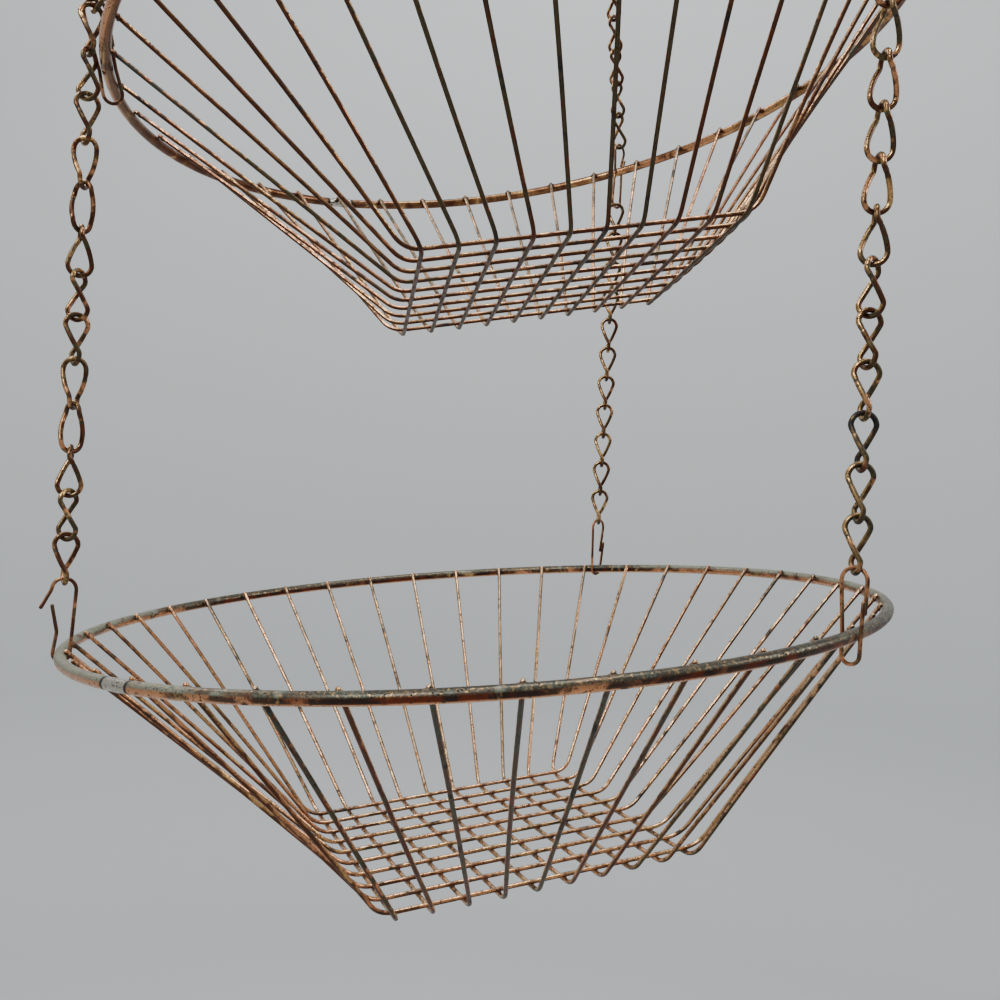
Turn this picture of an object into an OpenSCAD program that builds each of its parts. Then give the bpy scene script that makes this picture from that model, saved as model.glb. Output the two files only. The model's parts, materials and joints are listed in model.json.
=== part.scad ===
// Two-tier hanging fruit basket of bent wire, hung askew on three twist-link chains.
// All points are worked out from the middle of the lower rim, and the finished
// pieces are then moved so that the inside top of the hanging ring is the origin.

/* [Baskets] */
// Radius of a basket's rim, to the middle of its rod
rim_r = 150; // [125:1:180]
// Thickness of the rim rod
rim_rod = 4; // [3:0.1:5]
// Thickness of the basket wires
basket_wire = 1.6; // [1.2:0.1:2.2]
// Depth from the middle of the rim rod to the floor's lower wires
basket_depth = 88; // [65:1:120]
// Number of wires laid each way
wires_each_way = 10; // [6:2:12]
// Distance between two floor wires
floor_pitch = 12.2; // [10:0.1:13]
// Distance from the last floor wire to the corner where the sides start
floor_edge = 5.1; // [4.6:0.1:10]
// Bend radius of the wires between floor and side
bend_r = 9.5; // [6:0.5:11]
// How far the wire ends stand above the middle of the rim rod
wire_tip = 2; // [0.5:0.5:5]
// Gap at the welds, between crossing wires and between wires and rim
weld_gap = 0.05; // [0.03:0.01:0.2]
// Angle by which the rim welds sit round from the floor grid
weld_turn = -3; // [-5:0.5:5]

/* [Chains] */
// Wire of a chain link
link_wire = 1.7; // [1.3:0.1:2]
// Length of chain that one link takes up
link_pitch = 15; // [13:0.5:18]
// Radius of a link's two bows, to the middle of the wire
link_bow = 3.85; // [3.6:0.05:4.5]
// Play between two links that hang in each other
link_play = 0.3; // [0.2:0.05:0.5]
// Links between the baskets on the left chain
left_links = 13; // [11:1:16]
// Links between the baskets on the right chain
right_links = 13; // [11:1:16]
// Links between the baskets on the back chain
back_links = 11; // [11:1:16]
// Lowest links of each chain, which swing when the lower basket sways
sway_links = 10; // [5:1:10]
// Turn of each link against the one above it where the left chain twists
left_twist = -38; // [-40:1:-36]
// Height of the bar that gathers the chains above the upper basket's middle
gather_height = 400; // [320:5:600]

/* [Hooks] */
// Wire of the basket hooks
hook_wire = 1.3; // [1:0.1:1.6]
// Radius of a hook's top bow, to the middle of the wire
hook_bow = 3.9; // [3.6:0.1:4.5]
// Radius of an upper hook's bottom bow, to the middle of the wire
hook_foot = 3.4; // [3.2:0.1:4]
// Outside length of a hook on the upper rim
upper_hook = 34.5; // [33:0.5:40]
// Height of the upper rim's middle from the chain below each upper hook
upper_seat = 18; // [16:0.5:19]
// Outside length of a hook on the lower rim
lower_hook = 29.8; // [28:0.2:34]
// Height of the lower right hook's top bow above the rim that its waist holds
caught_reach = 20.3; // [17:0.1:22]
// Gap between a hook and the rim rod in it
hook_gap = 0.1; // [0.05:0.05:0.2]
// Sideways step of a hook's two overlapping tips
tip_step = 0.95; // [0.9:0.05:1.2]
// How far the tip of the lower left hook has sprung open
sprung_open = 3.4; // [0:0.2:5]
// Turn of the lower back hook on the rim
back_turn_low = -25; // [-30:1:0]
// Turn of the upper back hook on the rim
back_turn_up = -18; // [-30:1:0]
// Turn of the upper left hook on the rim, which has its tips on the inside
left_turn_up = 161; // [157:1:165]
// Place of the upper left hook round the rim from the left chain's
left_step_up = -2.5; // [-3:0.1:-2.4]

/* [Hanging ring] */
// Radius of the hanging ring, to the middle of its wire
ring_r = 17; // [15:0.5:25]
// Wire of the hanging ring
ring_wire = 3; // [2.5:0.1:4]
// Wire of the gather link
bar_wire = 2.4; // [2:0.1:3]
// Half the length of the gather link's straight bar, and the radius of its bow
bar_half = 12; // [11:0.5:16]
// Length of the gather link's straight legs
bar_leg = 6; // [4:0.5:12]
// Distance between two chains on the bar
bar_step = 7; // [6:0.1:8]
// Sideways place of the hanging ring over the balance point, towards +X
hang_x = 5.7; // [-10:0.05:12]
// Sideways place of the hanging ring over the balance point, towards +Y
hang_y = -4.45; // [-10:0.05:10]

/* [Posture] */
// Rise of the lower rim towards +X, in degrees
lower_tilt_x = 6.1; // [-8:0.1:8]
// Rise of the lower rim towards +Y, in degrees
lower_tilt_y = -1.6; // [-8:0.1:8]
// Place of the left chain round the lower rim
left_at = 177; // [165:0.5:190]
// Place of the right chain round the lower rim
right_at = 296; // [285:0.5:310]
// Place of the back chain round the lower rim
back_at = 44.5; // [35:0.5:60]
// Shift of the upper basket's middle towards +X
upper_shift_x = 3.5; // [-5:0.1:5]
// Shift of the upper basket's middle towards +Y
upper_shift_y = -2.3; // [-5:0.1:5]
// Turn of the upper basket about its own middle line
upper_turn = -13; // [-30:0.5:30]

/* [Hidden] */
$fn = 20;
rim_sides = 160;
copper = [0.72, 0.48, 0.38];
bronze = [0.42, 0.34, 0.24];
dark_bronze = [0.3, 0.24, 0.18];
LEFT = 0;
RIGHT = 1;
BACK = 2;

// A joint ball is a hair thicker than its wire, and each wire stops just inside it
ball_swell = 1.02;
ball_trim = 0.1;

// Distances between the middles of two wires that touch with their play
link_seat = link_wire + link_play;
hook_seat = (link_wire + hook_wire) / 2 + link_play;
rim_seat = (rim_rod + hook_wire) / 2 + hook_gap;
rim_lap = (rim_rod + basket_wire) / 2 + weld_gap;
floor_half = (wires_each_way - 1) / 2 * floor_pitch + floor_edge;
weld_step = 360 / (4 * wires_each_way);

// Points and frames
function unit(v) = v / norm(v);
function spun(p, a) = [p.x * cos(a) - p.y * sin(a), p.x * sin(a) + p.y * cos(a), p.z];
function tipped(p, a) = [p.x, p.y * cos(a) - p.z * sin(a), p.y * sin(a) + p.z * cos(a)];
function leaned(p, a) = [p.x * cos(a) - p.z * sin(a), p.y, p.x * sin(a) + p.z * cos(a)];

// A basket's frame is [middle of its rim, lean towards +X, tip towards +Y, turn]
function placed(f, p) = f[0] + leaned(tipped(spun(p, f[3]), f[2]), f[1]);
function unplaced(f, p) = spun(tipped(leaned(p - f[0], -f[1]), -f[2]), -f[3]);
function sloped(middle, rise_x, rise_y, turn) =
    [middle, atan(rise_x), atan(rise_y * cos(atan(rise_x))), turn];
function on_rim(f, at) = placed(f, [rim_r * cos(at), rim_r * sin(at), 0]);

// Lower basket and its hooks
chain_angles = [left_at, right_at, back_at];
lower = sloped([0, 0, 0], tan(lower_tilt_x), tan(lower_tilt_y), 0);
lower_seats = [for (at = chain_angles) on_rim(lower, at)];
lower_span = lower_hook - hook_wire;
lower_tops = [lower_span - rim_seat, caught_reach, lower_span - rim_seat];

// Ends of the chain stretches between the baskets, which hang plumb
chain_counts = [left_links, right_links, back_links];
chain_feet = [for (i = [LEFT : BACK])
    lower_seats[i] + [0, 0, lower_tops[i] - (hook_wire + link_play) / 2]];
chain_heads = [for (i = [LEFT : BACK]) chain_feet[i] + [0, 0, chain_counts[i] * link_pitch]];

// Upper basket: its rim's plane goes through the heights at which the three hooks hold it
held_at = [for (i = [LEFT : BACK])
    chain_heads[i] + [0, 0, i == LEFT ? -upper_seat : upper_seat]];
held_normal = cross(held_at[RIGHT] - held_at[LEFT], held_at[BACK] - held_at[LEFT]);
upper_rise_x = -held_normal.x / held_normal.z;
upper_rise_y = -held_normal.y / held_normal.z;
upper_middle = [
    upper_shift_x,
    upper_shift_y,
    held_at[LEFT].z + upper_rise_x * (upper_shift_x - held_at[LEFT].x)
        + upper_rise_y * (upper_shift_y - held_at[LEFT].y),
];
upper = sloped(upper_middle, upper_rise_x, upper_rise_y, upper_turn);
upper_steps = [left_step_up, 0, 0];
upper_angles = [for (i = [LEFT : BACK])
    let (q = unplaced(upper, held_at[i])) atan2(q.y, q.x) + upper_steps[i]];
upper_seats = [for (at = upper_angles) on_rim(upper, at)];
upper_span = upper_hook - hook_wire;

// The left upper hook rides over the top bow of the chain's link, the others carry a link
ride_over = link_seat / 2 + hook_seat;
hook_goals = [for (i = [LEFT : BACK]) i == LEFT
    ? chain_heads[i] + [0, 0, ride_over]
    : chain_heads[i] - [0, 0, (hook_wire + link_play) / 2]];
upper_ups = [for (i = [LEFT : BACK])
    unit(i == LEFT ? hook_goals[i] - upper_seats[i] : upper_seats[i] - hook_goals[i])];
upper_tops = [for (i = [LEFT : BACK]) let (reach = norm(hook_goals[i] - upper_seats[i]))
    i == LEFT ? reach : upper_span - reach];

// Gather bar, hanging ring and the three chains that run up to the bar
bar_middle = [hang_x, hang_y, upper_middle.z + gather_height];
bow_middle = bar_middle + [0, 0, bar_leg];
ring_grip = (ring_wire + bar_wire) / 2 + link_play;
ring_middle = bow_middle + [0, 0, bar_half - ring_grip + ring_r];
hang_point = ring_middle + [0, 0, ring_r - ring_wire / 2];
bar_places = [for (s = [0, -1, 1]) bar_middle + [0, s * bar_step, 0]];
bow_centres = [for (i = [LEFT : BACK]) i == LEFT
    ? chain_heads[i] - [0, 0, link_bow - link_seat / 2]
    : upper_seats[i] + (upper_tops[i] - hook_bow) * upper_ups[i]];
bow_reach = [for (i = [LEFT : BACK])
    i == LEFT ? link_bow - link_seat / 2 : hook_bow - (hook_wire + link_play) / 2];
run_feet = [for (i = [LEFT : BACK])
    bow_centres[i] + bow_reach[i] * unit(bar_places[i] - bow_centres[i])];
run_heads = [for (i = [LEFT : BACK])
    bar_places[i] + (bar_wire + link_play) / 2 * unit(bar_places[i] - bow_centres[i])];
run_counts = [for (i = [LEFT : BACK]) round(norm(run_heads[i] - run_feet[i]) / link_pitch)];

// Directions in which the hooks face, seen from above
lower_faces = chain_angles + [0, 0, back_turn_low];
upper_faces = chain_angles + [left_turn_up, 0, back_turn_up];

// Turn of link j of the chain between the baskets. On the left chain the second link is turned
// furthest, the next two come back, and the rest twist on by one step each. The right chain goes
// a quarter turn round in its middle links.
front_face = -22;
left_start = 56;
left_rest = 1;
left_back = 2;
left_run = 3.3;
right_start = front_face + 90;
right_run = 5.5;
right_run_links = 3;
function left_turns(j) = min(abs(j - left_rest), left_back) + max(0, j - left_run);
function right_turns(j) = min(1, max(0, (j - right_run) / right_run_links));
function link_turn(i, j) =
    i == LEFT ? left_start + left_twist * left_turns(j)
    : i == RIGHT ? right_start - 90 * right_turns(j)
    : front_face;

// Turn that each slanted run makes from the gather bar to its last link
function short_way(turn) = turn > 180 ? turn - 360 : turn;
run_turns = [link_turn(LEFT, 0), short_way(upper_faces[RIGHT]), upper_faces[BACK]];

// Straight wire between two points, cut short for the balls at its ends
module strand(a, b, d) {
    v = b - a;
    translate(a)
        rotate([0, acos(v.z / norm(v)), atan2(v.y, v.x)])
            translate([0, 0, ball_trim])
                cylinder(h = norm(v) - 2 * ball_trim, d = d);
}

// Bent wire in the XZ plane, round the origin
module bend(r, d, start, sweep) {
    trim = ball_trim / r * 180 / PI;
    rotate([90, 0, 0])
        rotate([0, 0, start + trim])
            rotate_extrude(angle = sweep - 2 * trim)
                translate([r, 0])
                    circle(d = d);
}

// Its poles lie along the wire, so that the wires' ends close round them
module ball(p, d, up = [0, 0, 1]) {
    translate(p)
        rotate([0, acos(up.z / norm(up)), atan2(up.y, up.x)])
            sphere(d = d * ball_swell);
}

// One link, its middle at the origin: its top bow lies in the XZ plane and its bottom bow in YZ
module link(pitch) {
    rise = (pitch + link_seat) / 2 - link_bow;
    translate([0, 0, rise])
        bend(link_bow, link_wire, 0, 180);
    translate([0, 0, -rise])
        rotate([0, 0, 90])
            bend(link_bow, link_wire, 180, 180);
    for (s = [-1, 1]) {
        a = [s * link_bow, 0, rise];
        b = [0, s * link_bow, -rise];
        strand(a, b, link_wire);
        ball(a, link_wire);
        ball(b, link_wire);
    }
}

// Turns what is drawn up +Z towards a direction, facing the given way seen from above
module aimed(up, facing) {
    heading = atan2(up.y, up.x);
    rotate([0, acos(up.z / norm(up)), heading])
        rotate([0, 0, facing - heading])
            children();
}

// Links first to last of the plumb chain i, counted from its top
module plumb_links(i, first, last) {
    for (j = [first : last])
        translate(chain_heads[i] - [0, 0, (j + 0.5) * link_pitch])
            rotate([0, 0, link_turn(i, j)])
                link(link_pitch);
}

// Whole slanted run of chain i, from the gather bar to its basket hook
module slanted_links(i) {
    v = run_heads[i] - run_feet[i];
    n = run_counts[i];
    for (j = [0 : n - 1])
        translate(run_heads[i] - (j + 0.5) / n * v)
            aimed(v, run_turns[i] * j / (n - 1))
                link(norm(v) / n);
}

// How far up a hook's leg from its elbow the wire's two ends reach, as shares of the leg
low_tip_share = 0.62;
high_tip_share = 0.42;

// Waisted hook with the rim rod at the origin and its loop in the XZ plane. Its two ends
// pass each other side by side on the leg at +X.
module hook(top, foot, foot_bow, waist, open) {
    head_z = top - hook_bow;
    foot_z = foot_bow - foot;
    waisted = -foot_z > waist;
    inner = [
        [-hook_bow, 0, head_z],
        if (waisted) [-waist, 0, 0],
        [-foot_bow, 0, foot_z],
    ];
    elbow = waisted ? [waist, 0, 0] : [foot_bow, 0, foot_z];
    head = [hook_bow, 0, head_z];
    low_tip = elbow + low_tip_share * (head - elbow) - [0, tip_step, 0];
    high_tip = elbow + high_tip_share * (head - elbow) + [open, tip_step, 0];
    outer = [if (waisted) [foot_bow, 0, foot_z], elbow, low_tip];
    translate([0, 0, head_z])
        bend(hook_bow, hook_wire, 0, 180);
    translate([0, 0, foot_z])
        bend(foot_bow, hook_wire, 180, 180);
    for (path = [inner, outer, [head, high_tip]]) {
        for (k = [1 : len(path) - 1])
            strand(path[k - 1], path[k], hook_wire);
        for (p = path)
            ball(p, hook_wire);
    }
}

// Half the width that a hook needs where it holds the rim, if it faces some degrees off outwards
function waist_at(off) = rim_seat / abs(cos(off));

module upper_hook_at(i) {
    waist = waist_at(upper_faces[i] - chain_angles[i] - upper_steps[i]);
    translate(upper_seats[i])
        aimed(upper_ups[i], upper_faces[i])
            hook(upper_tops[i], upper_span - upper_tops[i], hook_foot, waist, 0);
}

module lower_hook_at(i, open) {
    waist = waist_at(lower_faces[i] - chain_angles[i]);
    translate(lower_seats[i])
        rotate([0, 0, lower_faces[i]])
            hook(lower_tops[i], lower_span - lower_tops[i], waist, waist, open);
}

// Where a wire that bends up at the floor's corner meets the rim, round at the angle at
function weld_point(corner, at) =
    let (
        out = [cos(at), sin(at)],
        run = norm(rim_r * out - [corner.x, corner.y]),
        lap = rim_lap / sin(atan2(basket_depth, run)),
        closer = run - lap,
        true_lap = rim_lap / sin(atan2(basket_depth, closer)))
    [(rim_r - true_lap) * out.x, (rim_r - true_lap) * out.y, 0];

// Half of a wire: bend and side, from the floor line at side y and height z out to +X
module wire_side(y, z, at) {
    weld = weld_point([floor_half, y], at);
    drop = norm([weld.y - y, weld.z - z]);
    slope = atan2(drop, weld.x - floor_half);
    tangent = bend_r * tan(slope / 2);
    start = [floor_half - tangent, 0, 0];
    end = start + [bend_r * sin(slope), 0, bend_r * (1 - cos(slope))];
    tip = [weld.x, 0, drop] + wire_tip / sin(slope) * [cos(slope), 0, sin(slope)];
    translate([0, y, z])
        rotate([-atan2(weld.y - y, weld.z - z), 0, 0]) {
            strand([0, 0, 0], start, basket_wire);
            translate(start + [0, 0, bend_r])
                bend(bend_r, basket_wire, -90, slope);
            strand(end, tip, basket_wire);
            ball(start, basket_wire, [1, 0, 0]);
            ball(end, basket_wire, tip - end);
            ball(tip, basket_wire, tip - end);
        }
}

// All wires one way, at a height above the floor's lowest wires, with their welds shifted
module wire_set(height, shift) {
    for (k = [0 : wires_each_way - 1]) {
        place = k - (wires_each_way - 1) / 2;
        wire_side(place * floor_pitch, height, place * weld_step + shift);
        mirror([1, 0, 0])
            wire_side(place * floor_pitch, height, place * weld_step - shift);
        ball([0, place * floor_pitch, height], basket_wire, [1, 0, 0]);
    }
}

// Draws children in a basket's frame
module on_basket(f) {
    translate(f[0])
        rotate([f[2], -f[1], 0])
            rotate([0, 0, f[3]])
                children();
}

module rim() {
    rotate_extrude($fn = rim_sides)
        translate([rim_r, 0])
            circle(d = rim_rod);
}

module long_wires() {
    wire_set(basket_wire + weld_gap - basket_depth, weld_turn);
}

module cross_wires() {
    rotate([0, 0, 90])
        wire_set(-basket_depth, weld_turn);
}

// Moves the hanging point to the origin
module hung() {
    translate(-hang_point)
        children();
}

module top_ring() {
    color(dark_bronze)
        hung()
            translate(ring_middle)
                rotate([90, 0, 0])
                    rotate_extrude($fn = rim_sides)
                        translate([ring_r, 0])
                            circle(d = ring_wire);
}

module gather_link() {
    corners = [[-bar_half, 0, 0], [bar_half, 0, 0]];
    lift = [0, 0, bar_leg];
    color(dark_bronze)
        hung()
            translate(bar_middle)
                rotate([0, 0, 90]) {
                    translate(lift)
                        bend(bar_half, bar_wire, 0, 180);
                    strand(corners[0], corners[1], bar_wire);
                    for (p = corners) {
                        strand(p, p + lift, bar_wire);
                        ball(p, bar_wire);
                        ball(p + lift, bar_wire);
                    }
                }
}

module upper_chain_left() { color(bronze) hung() slanted_links(LEFT); }
module upper_chain_right() { color(bronze) hung() slanted_links(RIGHT); }
module upper_chain_back() { color(bronze) hung() slanted_links(BACK); }

module upper_hook_left() { color(dark_bronze) hung() upper_hook_at(LEFT); }
module upper_hook_right() { color(dark_bronze) hung() upper_hook_at(RIGHT); }
module upper_hook_back() { color(dark_bronze) hung() upper_hook_at(BACK); }

module upper_rim() { color(copper) hung() on_basket(upper) rim(); }
module upper_long_wires() { color(copper) hung() on_basket(upper) long_wires(); }
module upper_cross_wires() { color(copper) hung() on_basket(upper) cross_wires(); }

// Links that stay with the upper basket, above the swinging ones
module middle_chain(i) {
    color(bronze)
        hung()
            plumb_links(i, 0, chain_counts[i] - sway_links - 1);
}

module pivot_link(i) {
    first = chain_counts[i] - sway_links;
    color(bronze)
        hung()
            plumb_links(i, first, first);
}

module lower_chain(i) {
    color(bronze)
        hung()
            plumb_links(i, chain_counts[i] - sway_links + 1, chain_counts[i] - 2);
}

module last_link(i) {
    last = chain_counts[i] - 1;
    color(bronze)
        hung()
            plumb_links(i, last, last);
}

module middle_chain_left() { middle_chain(LEFT); }
module middle_chain_right() { middle_chain(RIGHT); }
module middle_chain_back() { middle_chain(BACK); }
module pivot_link_left() { pivot_link(LEFT); }
module pivot_link_right() { pivot_link(RIGHT); }
module pivot_link_back() { pivot_link(BACK); }
module lower_chain_left() { lower_chain(LEFT); }
module lower_chain_right() { lower_chain(RIGHT); }
module lower_chain_back() { lower_chain(BACK); }
module last_link_left() { last_link(LEFT); }
module last_link_right() { last_link(RIGHT); }
module last_link_back() { last_link(BACK); }

module lower_hook_left() { color(dark_bronze) hung() lower_hook_at(LEFT, sprung_open); }
module lower_hook_right() { color(dark_bronze) hung() lower_hook_at(RIGHT, 0); }
module lower_hook_back() { color(dark_bronze) hung() lower_hook_at(BACK, 0); }

module lower_rim() { color(copper) hung() on_basket(lower) rim(); }
module lower_long_wires() { color(copper) hung() on_basket(lower) long_wires(); }
module lower_cross_wires() { color(copper) hung() on_basket(lower) cross_wires(); }

top_ring();
gather_link();
upper_chain_left();
upper_chain_right();
upper_chain_back();
upper_hook_left();
upper_hook_right();
upper_hook_back();
upper_rim();
upper_long_wires();
upper_cross_wires();
middle_chain_left();
middle_chain_right();
middle_chain_back();
pivot_link_left();
pivot_link_right();
pivot_link_back();
lower_chain_left();
lower_chain_right();
lower_chain_back();
last_link_left();
last_link_right();
last_link_back();
lower_hook_left();
lower_hook_right();
lower_hook_back();
lower_rim();
lower_long_wires();
lower_cross_wires();
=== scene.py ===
import json
import math
import random

import bmesh
import bpy
from bpy.props import FloatProperty, FloatVectorProperty, IntProperty, PointerProperty
from mathutils import Matrix, Quaternion, Vector


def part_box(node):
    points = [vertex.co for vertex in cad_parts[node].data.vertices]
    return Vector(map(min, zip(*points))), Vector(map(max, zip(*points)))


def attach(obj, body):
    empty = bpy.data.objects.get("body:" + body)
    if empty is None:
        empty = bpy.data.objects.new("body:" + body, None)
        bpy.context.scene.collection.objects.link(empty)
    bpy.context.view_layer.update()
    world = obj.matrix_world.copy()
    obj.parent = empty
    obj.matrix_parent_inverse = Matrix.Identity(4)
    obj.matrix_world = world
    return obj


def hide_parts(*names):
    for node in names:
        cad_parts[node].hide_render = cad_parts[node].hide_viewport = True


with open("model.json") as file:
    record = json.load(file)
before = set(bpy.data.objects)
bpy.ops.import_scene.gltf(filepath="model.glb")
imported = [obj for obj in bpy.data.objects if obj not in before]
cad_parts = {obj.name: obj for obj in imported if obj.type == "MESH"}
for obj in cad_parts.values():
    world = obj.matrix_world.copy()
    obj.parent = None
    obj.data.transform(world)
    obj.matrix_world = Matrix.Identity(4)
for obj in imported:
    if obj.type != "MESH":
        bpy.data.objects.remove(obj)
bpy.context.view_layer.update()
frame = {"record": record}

# The looks of a two-tier hanging fruit basket of bent wire on twist-link chains, laid over the
# fixed frame. Lengths are in metres, and the origin is the inside top of the hanging ring.

bl_info = {
    "name": "Hanging Fruit Basket",
    "version": (1, 0, 0),
    "blender": (4, 5, 0),
    "location": "View3D > Sidebar > Fruit Basket",
    "description": "Models and finishes a two-tier hanging basket of aged copper wire",
    "category": "Add Mesh",
}

RECORD = frame["record"]
SIDES = ("left", "right", "back")
LEFT, RIGHT, BACK = range(3)
MM = 0.001
UP = Vector((0, 0, 1))


def length(name, description, millimetres):
    return FloatProperty(
        name=name, description=description, default=millimetres * MM, unit="LENGTH", precision=5
    )


def angle(name, description, degrees):
    return FloatProperty(
        name=name, description=description, default=math.radians(degrees), subtype="ANGLE"
    )


def colour(name, description, red, green, blue):
    return FloatVectorProperty(
        name=name, description=description, default=(red, green, blue), size=3,
        subtype="COLOR", min=0, max=1,
    )


class BasketSizes(bpy.types.PropertyGroup):
    """Sizes of the two baskets."""

    rim_r: length("Rim radius", "Radius of a rim, to the middle of its rod", 150)
    rim_rod: length("Rim rod", "Thickness of the rim rod", 4)
    wire: length("Wire", "Thickness of the basket wires", 1.6)
    depth: length("Depth", "From the rim rod's middle to the floor's lower wires", 88)
    wires: IntProperty(name="Wires", description="Wires laid each way", default=10, min=6)
    pitch: length("Floor pitch", "Distance between two floor wires", 12.2)
    edge: length("Floor edge", "From the last floor wire to the corner of the floor", 5.1)
    bend_r: length("Bend radius", "Bend of the wires between floor and side", 9.5)
    tip: length("Wire tips", "How far the wire ends stand above the rod's middle", 2)
    weld_gap: length("Weld gap", "Gap between wires that are welded", 0.05)
    weld_turn: angle("Weld turn", "Angle by which the rim welds sit round", -3)
    side_bow: length("Side bow", "Most that a side wire is bowed by handling", 0.6)
    butt_weld: angle("Butt weld", "Place of a rim's butt weld round the lower rim", 207)
    butt_weld_up: angle("Upper butt weld", "Place of the butt weld round the upper rim", 118)


class ChainSizes(bpy.types.PropertyGroup):
    """Sizes of the chains."""

    wire: length("Wire", "Wire of a chain link", 1.7)
    pitch: length("Pitch", "Length of chain that one link takes up", 15)
    bow: length("Bow", "Radius of a link's bows, to the middle of the wire", 3.85)
    play: length("Play", "Play between two links that hang in each other", 0.3)
    left: IntProperty(name="Left links", description="Left links between the baskets", default=13)
    right: IntProperty(name="Right links", description="Right links between them", default=13)
    back: IntProperty(name="Back links", description="Back links between them", default=11)
    sway: IntProperty(name="Sway links", description="Lowest links, which swing", default=10)
    twist: angle("Left twist", "Turn of each left link against the one above it", -38)
    first: angle("Left start", "Turn of the second left link", 56)
    front: angle("Front", "Direction that the untwisted links face", -22)


class HookSizes(bpy.types.PropertyGroup):
    """Sizes and places of the six hooks."""

    wire: length("Wire", "Wire of the hooks", 1.3)
    bow: length("Top bow", "Radius of a hook's top bow", 3.9)
    foot: length("Foot bow", "Radius of an upper hook's bottom bow", 3.4)
    upper: length("Upper hook", "Outside length of a hook on the upper rim", 34.5)
    upper_seat: length("Upper seat", "Height of the upper rim from the chain below a hook", 18)
    lower: length("Lower hook", "Outside length of a hook on the lower rim", 29.8)
    caught: length("Caught reach", "Lower right hook's top above the rod in its waist", 20.3)
    gap: length("Gap", "Gap between a hook and the rod in it", 0.1)
    tip_step: length("Tip step", "Sideways step of a hook's two ends", 0.95)
    sprung: length("Sprung open", "How far the lower left hook's tip stands open", 3.4)
    back_low: angle("Lower back turn", "Turn of the lower back hook on the rim", -25)
    back_up: angle("Upper back turn", "Turn of the upper back hook on the rim", -18)
    left_up: angle("Upper left turn", "Turn of the upper left hook on the rim", 161)
    left_step: angle("Upper left place", "Upper left hook's place from its chain", -2.5)


class RingSizes(bpy.types.PropertyGroup):
    """Sizes of the hanging ring and the gather link."""

    ring_r: length("Ring radius", "Radius of the ring, to the middle of its wire", 17)
    ring_wire: length("Ring wire", "Wire of the ring", 3)
    bar_wire: length("Link wire", "Wire of the gather link", 2.4)
    bar_half: length("Half bar", "Half the gather link's bar, and its bow's radius", 12)
    bar_leg: length("Legs", "Length of the gather link's straight legs", 6)
    bar_step: length("Bar step", "Distance between two chains on the bar", 7)


class Posture(bpy.types.PropertyGroup):
    """How the baskets hang askew."""

    tilt_x: angle("Lower tilt X", "Rise of the lower rim towards +X", 6.1)
    tilt_y: angle("Lower tilt Y", "Rise of the lower rim towards +Y", -1.6)
    left_at: angle("Left chain", "Place of the left chain round the lower rim", 177)
    right_at: angle("Right chain", "Place of the right chain round the lower rim", 296)
    back_at: angle("Back chain", "Place of the back chain round the lower rim", 44.5)
    upper_turn: angle("Upper turn", "Turn of the upper basket about its middle line", -13)


class Colours(bpy.types.PropertyGroup):
    """Colours of the plating, its tarnish, its painted highlight and the stage."""

    rose: colour("Rose copper", "Clean copper plate", 0.66, 0.31, 0.15)
    # Brassy gold serves brassy patches, and also the painted highlight on the chains' upper left
    # sides.
    brass: colour("Brassy gold", "Plate that is rubbed bright", 0.62, 0.38, 0.15)
    brown: colour("Brown oxide", "Brown tarnish", 0.085, 0.032, 0.017)
    red: colour("Red oxide", "Red-brown and orange tarnish", 0.14, 0.029, 0.012)
    olive: colour("Olive tarnish", "Dark green-brown tarnish", 0.070, 0.062, 0.032)
    slate: colour("Slate tarnish", "Dark grey-green tarnish near the rims", 0.058, 0.062, 0.048)
    # Tan is the colour of the painted highlight on the basket wires' upper left sides.
    tan: colour("Rubbed tan", "Pale plate on the upper sides", 0.78, 0.49, 0.27)
    bloom: colour("Green bloom", "Pale grey-green bloom", 0.215, 0.235, 0.18)
    black: colour("Black crust", "Near-black crust", 0.012, 0.011, 0.009)
    silver: colour("Bare weld", "Bare metal at a butt weld", 0.56, 0.51, 0.42)
    wall: colour("Wall", "Wall and floor of the stage", 0.50, 0.515, 0.52)


class StageSizes(bpy.types.PropertyGroup):
    """The camera as it stood, fitted to the photograph, and the room round the basket."""

    eye: FloatVectorProperty(
        name="Eye", description="Camera from the middle of the lower rim", size=3,
        default=(-0.14536, -0.37113, 0.04907), unit="LENGTH",
    )
    azimuth: angle("Azimuth", "Camera's heading, from +Y towards +X", 22.33)
    elevation: angle("Elevation", "Rise of the camera's line of sight", -0.777)
    roll: angle("Roll", "Lean of the camera to the left", 3.083)
    lens: FloatProperty(name="Lens", description="Focal length in mm on a 36 mm sensor", default=36.8)
    room_r: length("Room radius", "Radius of the round room", 2600)
    cove: length("Cove", "Radius of the cove between floor and wall", 500)
    floor: length("Floor", "Depth of the floor below the hanging point", 1700)
    top: length("Wall top", "Height of the wall above the hanging point", 2300)


GROUPS = {
    "basket_sizes": BasketSizes,
    "chain_sizes": ChainSizes,
    "hook_sizes": HookSizes,
    "ring_sizes": RingSizes,
    "basket_posture": Posture,
    "basket_colours": Colours,
    "stage_sizes": StageSizes,
}


def tilted(middle, rise_x, rise_y, turn):
    """Frame of a basket whose rim's plane rises by those slopes."""
    lean = math.atan(rise_x)
    tip = math.atan(rise_y * math.cos(lean))
    return (
        Matrix.Translation(middle)
        @ Matrix.Rotation(-lean, 4, "Y")
        @ Matrix.Rotation(tip, 4, "X")
        @ Matrix.Rotation(turn, 4, "Z")
    )


def aimed(up, facing):
    """Turn that brings +Z to a direction, facing the given way seen from above."""
    heading = math.atan2(up.y, up.x)
    return (
        Matrix.Rotation(heading, 4, "Z")
        @ Matrix.Rotation(math.acos(up.normalized().z), 4, "Y")
        @ Matrix.Rotation(facing - heading, 4, "Z")
    )


def middle_of(node):
    low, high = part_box(node)
    return (low + high) / 2


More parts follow.
